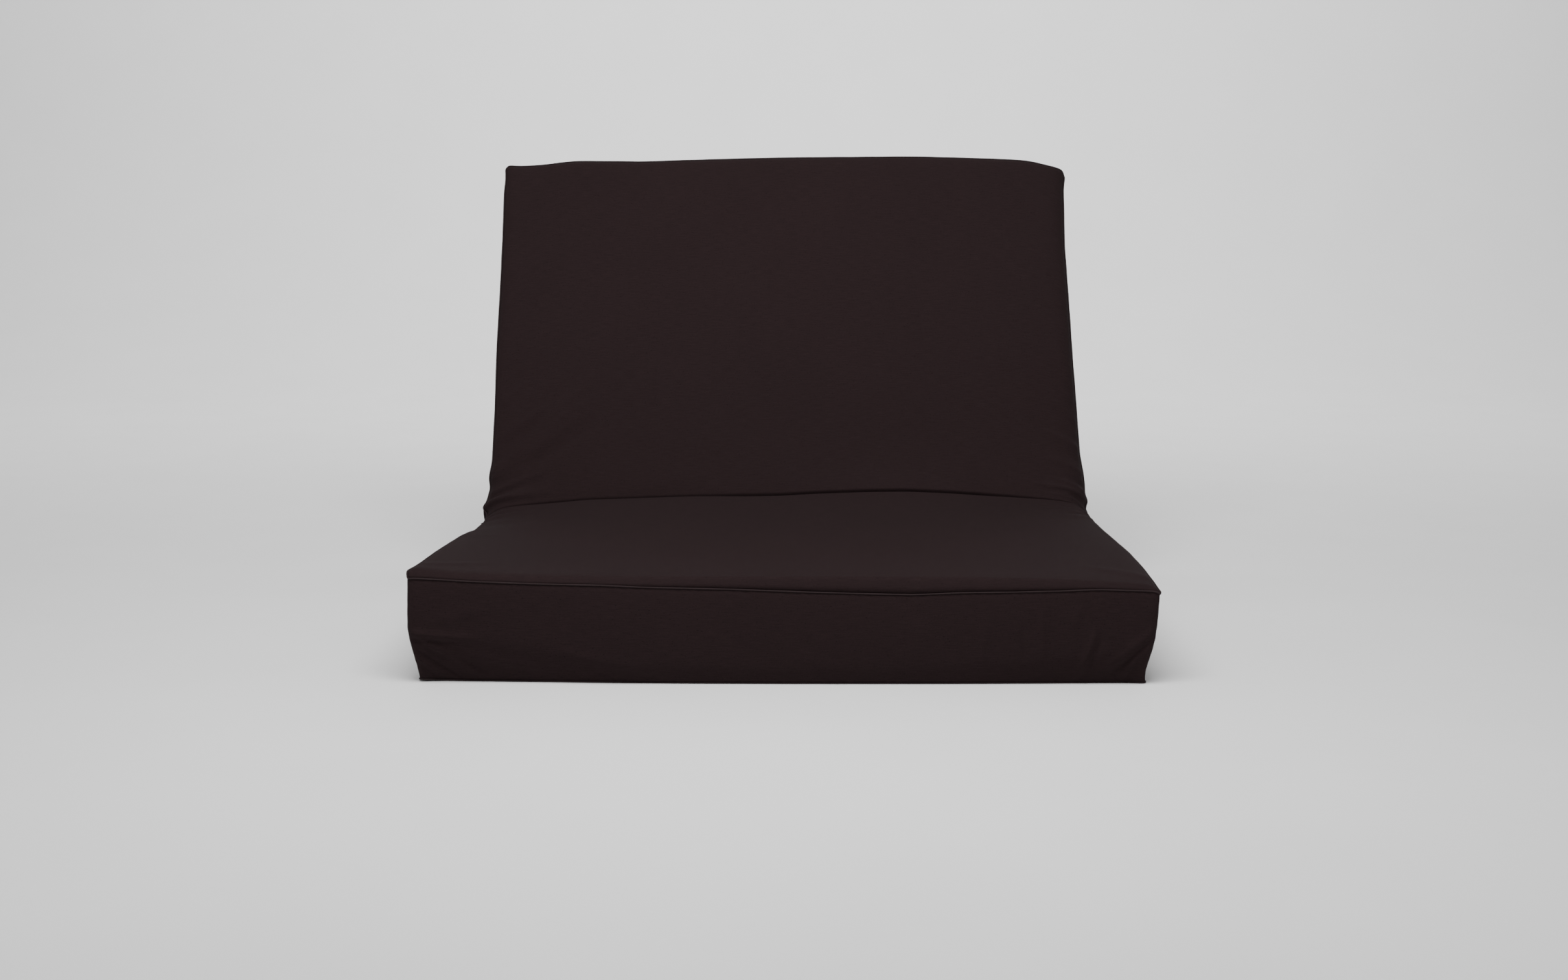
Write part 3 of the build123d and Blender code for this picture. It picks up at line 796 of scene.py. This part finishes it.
def seam(name, h):
    """The ridge of a seam all round a panel, with its stitches as small dents."""
    radius, lift, half_stitch, round_count = 0.0015, 0.0009, 0.0022, 6
    order, corner = round_the_edge(h)
    p, n = SHAPE[order], normals_of(SHAPE, FACES)[order]
    kept = np.where(corner[:, None], p, (np.roll(p, 1, 0) + 6 * p + np.roll(p, -1, 0)) / 8)
    half = (p + np.roll(p, -1, 0)) / 2
    path = np.stack([kept, half], 1).reshape(-1, 3)
    out = np.stack([n, (n + np.roll(n, -1, 0)) / 2], 1).reshape(-1, 3)
    far = arc(np.concatenate([path, path[:1]]))
    steps = np.linspace(0, far[-1], int(far[-1] / half_stitch), endpoint=False)
    path = np.stack([np.interp(steps, far, np.append(path[:, c], path[0, c])) for c in range(3)], 1)
    out = np.stack([np.interp(steps, far, np.append(out[:, c], out[0, c])) for c in range(3)], 1)
    for _ in range(3):
        path = (np.roll(path, 1, 0) + 2 * path + np.roll(path, -1, 0)) / 4
    stitch = 0.92 + 0.12 * (np.arange(len(path)) % 2)
    stitch = stitch + 0.06 * np.sin(steps * 83) + 0.05 * np.sin(steps * 37 + 1)
    points, faces = tube(path + out * lift, out, radius * stitch, round_count)
    # its paler cloth paints the highlight that the seam's ridge catches
    obj = new_object(name, points, faces, SEAM_HIGHLIGHT_CLOTH)
    around = np.tile(np.arange(round_count) * 0.0016, len(path))
    put(obj, "cloth", np.stack([np.repeat(steps, round_count), around, 0 * around], 1))
    follow_fold(obj)


seam("seam_top", THICK)
seam("seam_underside", 0.0)


# ---- inside the cover: ticking, cotton, foam, the label ----
NO_SEAM = 0.05  # cloth this far from a seam shows no wear and no painted seam highlight
BAG_IN, PAD_IN = 0.0125, 0.0145  # from the box's side to the ticking and to what it holds
BAG_FOLD, PAD_FOLD = 0.0345, 0.036  # from the bend line to a section's ticking and pads
BAG_H, PAD_H = (0.0110, 0.1775), (0.0125, 0.1755)  # from and to this high over the cover's underside


def layer(name, material, x, v, h, cells, body=None):
    """A pad, a bag round pads, or a label, given the same form as the cover. x, v and h are its spans."""
    flat, faces, _ = lattice(*(np.linspace(*span, count + 1) for span, count in zip((x, v, h), cells)))
    wave = 0.0008 * np.sin(flat[:, 0] * 19) * np.sin(flat[:, 1] * 17)
    points = form(flat[:, 0], flat[:, 1], flat[:, 2] + wave, TURN)
    obj = new_object(name, points, faces, material)
    put(obj, "cloth", np.stack([flat[:, 0], flat[:, 1] + flat[:, 2], NO_SEAM + 0 * flat[:, 0]], 1))
    if body:
        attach(obj, body)
    else:
        follow_fold(obj)
    return obj


def pad(name, stuff, v, h, cells):
    material = COTTON if stuff == "cotton" else FOAM
    obj = layer(name + "_pad", material, (-HALF + PAD_IN, HALF - PAD_IN), v, h, cells)
    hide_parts(name)


def ticking_bag(section, v, cells):
    across = (-HALF + BAG_IN, HALF - BAG_IN)
    obj = layer(section + "_ticking_bag", TICKING, across, v, BAG_H, cells)
    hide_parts(section + "_ticking")


# what each layer is, what it is called in the seat and in the back, and from where to where it lies
LAYERS = (
    ("cotton", "lower", "rear", 0.0125, 0.0365), ("foam", "lower", "rear", 0.0370, 0.0850),
    ("cotton", "middle", "middle", 0.0855, 0.1045), ("foam", "upper", "front", 0.1050, 0.1530),
    ("cotton", "upper", "front", 0.1535, 0.1755),
)
for stuff, seat_place, back_place, low, high in LAYERS:
    pad(f"seat_{stuff}_{seat_place}", stuff, (-SEAT + PAD_IN, -PAD_FOLD), (low, high), (48, 34, 2))
    pad(f"back_{stuff}_{back_place}", stuff, (PAD_FOLD, BACK - PAD_IN), (low, high), (48, 34, 2))
ticking_bag("seat", (-SEAT + BAG_IN, -BAG_FOLD), (48, 36, 8))
ticking_bag("back", (BAG_FOLD, BACK - BAG_IN), (48, 36, 8))
ticking_bag("fold", (-0.0335, 0.0335), (48, 6, 8))
pad("fold_padding", "cotton", (-0.0315, 0.0315), PAD_H, (48, 6, 8))
label = layer(
    "law_label_cloth", LABEL, (0.538, 0.598), (0.845, 0.935), (0.0058, 0.0064),
    cells=(12, 16, 1), body="back",
)
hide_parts("law_label")


# ---- the zipper in the head boxing ----
def to_row(x, u, n):
    """Across, along the back, and forwards from its rear face, to the row frame."""
    return np.stack([x, BEND_Y + u * cos(TURN) - n * sin(TURN), u * sin(TURN) + n * cos(TURN)], axis=-1)


def zip_tape(name, sign):
    """One tape, sewn in beside the opening. Past the chain's ends the two tapes close the opening."""
    ends = SLOT_HALF - 0.001
    chain_end, closing = 0.6165, 0.0027  # where the chain stops, and how far the tape comes in beyond it
    inner_edge, outer_edge = 0.0029, 0.0160  # from the opening's middle
    half_thick = 0.00035
    xs, ns = np.linspace(-ends, ends, 320), np.linspace(inner_edge, outer_edge, 6)
    flat, faces, _ = lattice(xs, ns, np.array([-half_thick, half_thick]))
    x, from_middle, deep = flat.T
    closed = smooth((np.abs(x) - chain_end) / 0.004) * smooth((0.0100 - from_middle) / 0.0071)
    sag = 0.0003 * np.sin(x * 140 + sign) * smooth((from_middle - 0.004) / 0.006)
    n = MID + sign * (from_middle - closing * closed)
    tape = new_object("zip_tape_" + name, to_row(x, ZIP_U + deep + sag, n), faces[:, ::sign], TAPE)
    put(tape, "cloth", np.stack([x, n, NO_SEAM + 0 * x], 1))
    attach(tape, "back")
    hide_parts("zipper_tape_" + name)


def zip_coil(name, sign):
    """The coil sewn along a tape: a wire wound round a line beside the opening's middle."""
    pitch, coil_radius, wire_radius = 0.0024, 0.00105, 0.00034
    from_middle, end_gap = 0.0015, 0.0004
    per_turn, wire_sides = 9, 4
    low, high = (corner.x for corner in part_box("zipper_coil_" + name))
    turns = int((high - low) / pitch)
    t = np.linspace(0, turns, turns * per_turn + 1)
    angle = 2 * pi * t * sign
    x = low + end_gap + (high - low - 2 * end_gap) * t / turns
    n = MID + sign * (from_middle + coil_radius * np.sin(angle))
    path = to_row(x, ZIP_U + coil_radius * np.cos(angle), n)
    out = to_row(0 * x, np.cos(angle), sign * np.sin(angle)) - to_row(0 * x, 0 * x, 0 * x)
    points, faces = tube(path, out, wire_radius, wire_sides, closed=False)
    coil = new_object("zip_coil_" + name, points, faces, COIL)
    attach(coil, "back")
    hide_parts("zipper_coil_" + name)


for name, sign in (("front", 1), ("rear", -1)):
    zip_tape(name, sign)
    zip_coil(name, sign)

# ---- the CAD's own nodes that show ----
CARRIED = {
    "seat_tuft_twine": TWINE, "seat_tufts_upper": FELT, "seat_tufts_lower": FELT,
    "back_tuft_twine": TWINE, "back_tufts_front": FELT, "back_tufts_rear": FELT,
    "zipper_stops": METAL, "zipper_slider": METAL, "zipper_pull": METAL,
}
for name, material in CARRIED.items():
    node = frame["nodes"][name]
    node.data.materials.clear()
    node.data.materials.append(material)

# ---- studio: a paper sweep under a large overhead softbox ----
SWEEP_HALF, SWEEP_BEND, BEND_START, WALL_TOP = 10.0, 2.0, 4.0, 7.0
PAPER_DOWN = 0.0006  # how far the paper lies under the CAD's floor
curve = [
    (BEND_START + SWEEP_BEND * sin(a), SWEEP_BEND - SWEEP_BEND * cos(a)) for a in np.linspace(0, pi / 2, 17)
]
sweep = [(-9.0, 0.0), *curve, (BEND_START + SWEEP_BEND, WALL_TOP)]
paper = [(x, y, z - PAPER_DOWN) for y, z in sweep for x in (-SWEEP_HALF, SWEEP_HALF)]
strips = [(2 * i, 2 * i + 1, 2 * i + 3, 2 * i + 2) for i in range(len(sweep) - 1)]
floor = new_object("floor", paper, strips)
n = Nodes("floor_paper")
cloud = n.noise(n.add("ShaderNodeTexCoord").outputs["Object"], 3.0, 3.0, 0.5)
tone = n.range(cloud, 0.3, 0.7, 0.88, 0.90)
floor.data.materials.append(n.finish(Base_Color=n.grey(tone), Roughness=0.95, Specular_IOR_Level=0.1))

world = bpy.data.worlds.new("studio")
bpy.context.scene.world = world
world.use_nodes = True
world.node_tree.nodes["Background"].inputs["Color"].default_value = (1, 1, 1, 1)
world.node_tree.nodes["Background"].inputs["Strength"].default_value = 0.40


def lamp(name, place, aim, size, power):
    light = bpy.data.lights.new(name, "AREA")
    light.shape = "RECTANGLE"
    light.size, light.size_y = size
    light.energy = power
    obj = bpy.data.objects.new(name, light)
    obj.location = place
    obj.rotation_euler = (Vector(aim) - Vector(place)).to_track_quat("-Z", "Y").to_euler()
    bpy.context.scene.collection.objects.link(obj)


lamp("key", (-0.10, -1.50, 2.40), (0, 0.25, 0.4), (2.0, 1.0), 91)
lamp("backdrop_light", (0, 2.4, 4.6), (0, 5.6, 2.5), (7.0, 1.0), 330)

camera = bpy.data.objects.new("camera", bpy.data.cameras.new("camera"))
bpy.context.scene.collection.objects.link(camera)
camera.data.sensor_width = 36.0
camera.data.lens = 41.0876  # this, the place and the two angles were fitted to the photograph's outline
camera.location = (0.018, BEND_Y - 4.120, 0.884)
pitch, yaw = radians(9.12), radians(-0.30)
aim = Vector((sin(yaw) * cos(pitch), cos(yaw) * cos(pitch), -sin(pitch)))
camera.rotation_euler = aim.to_track_quat("-Z", "Y").to_euler()
bpy.context.scene.camera = camera
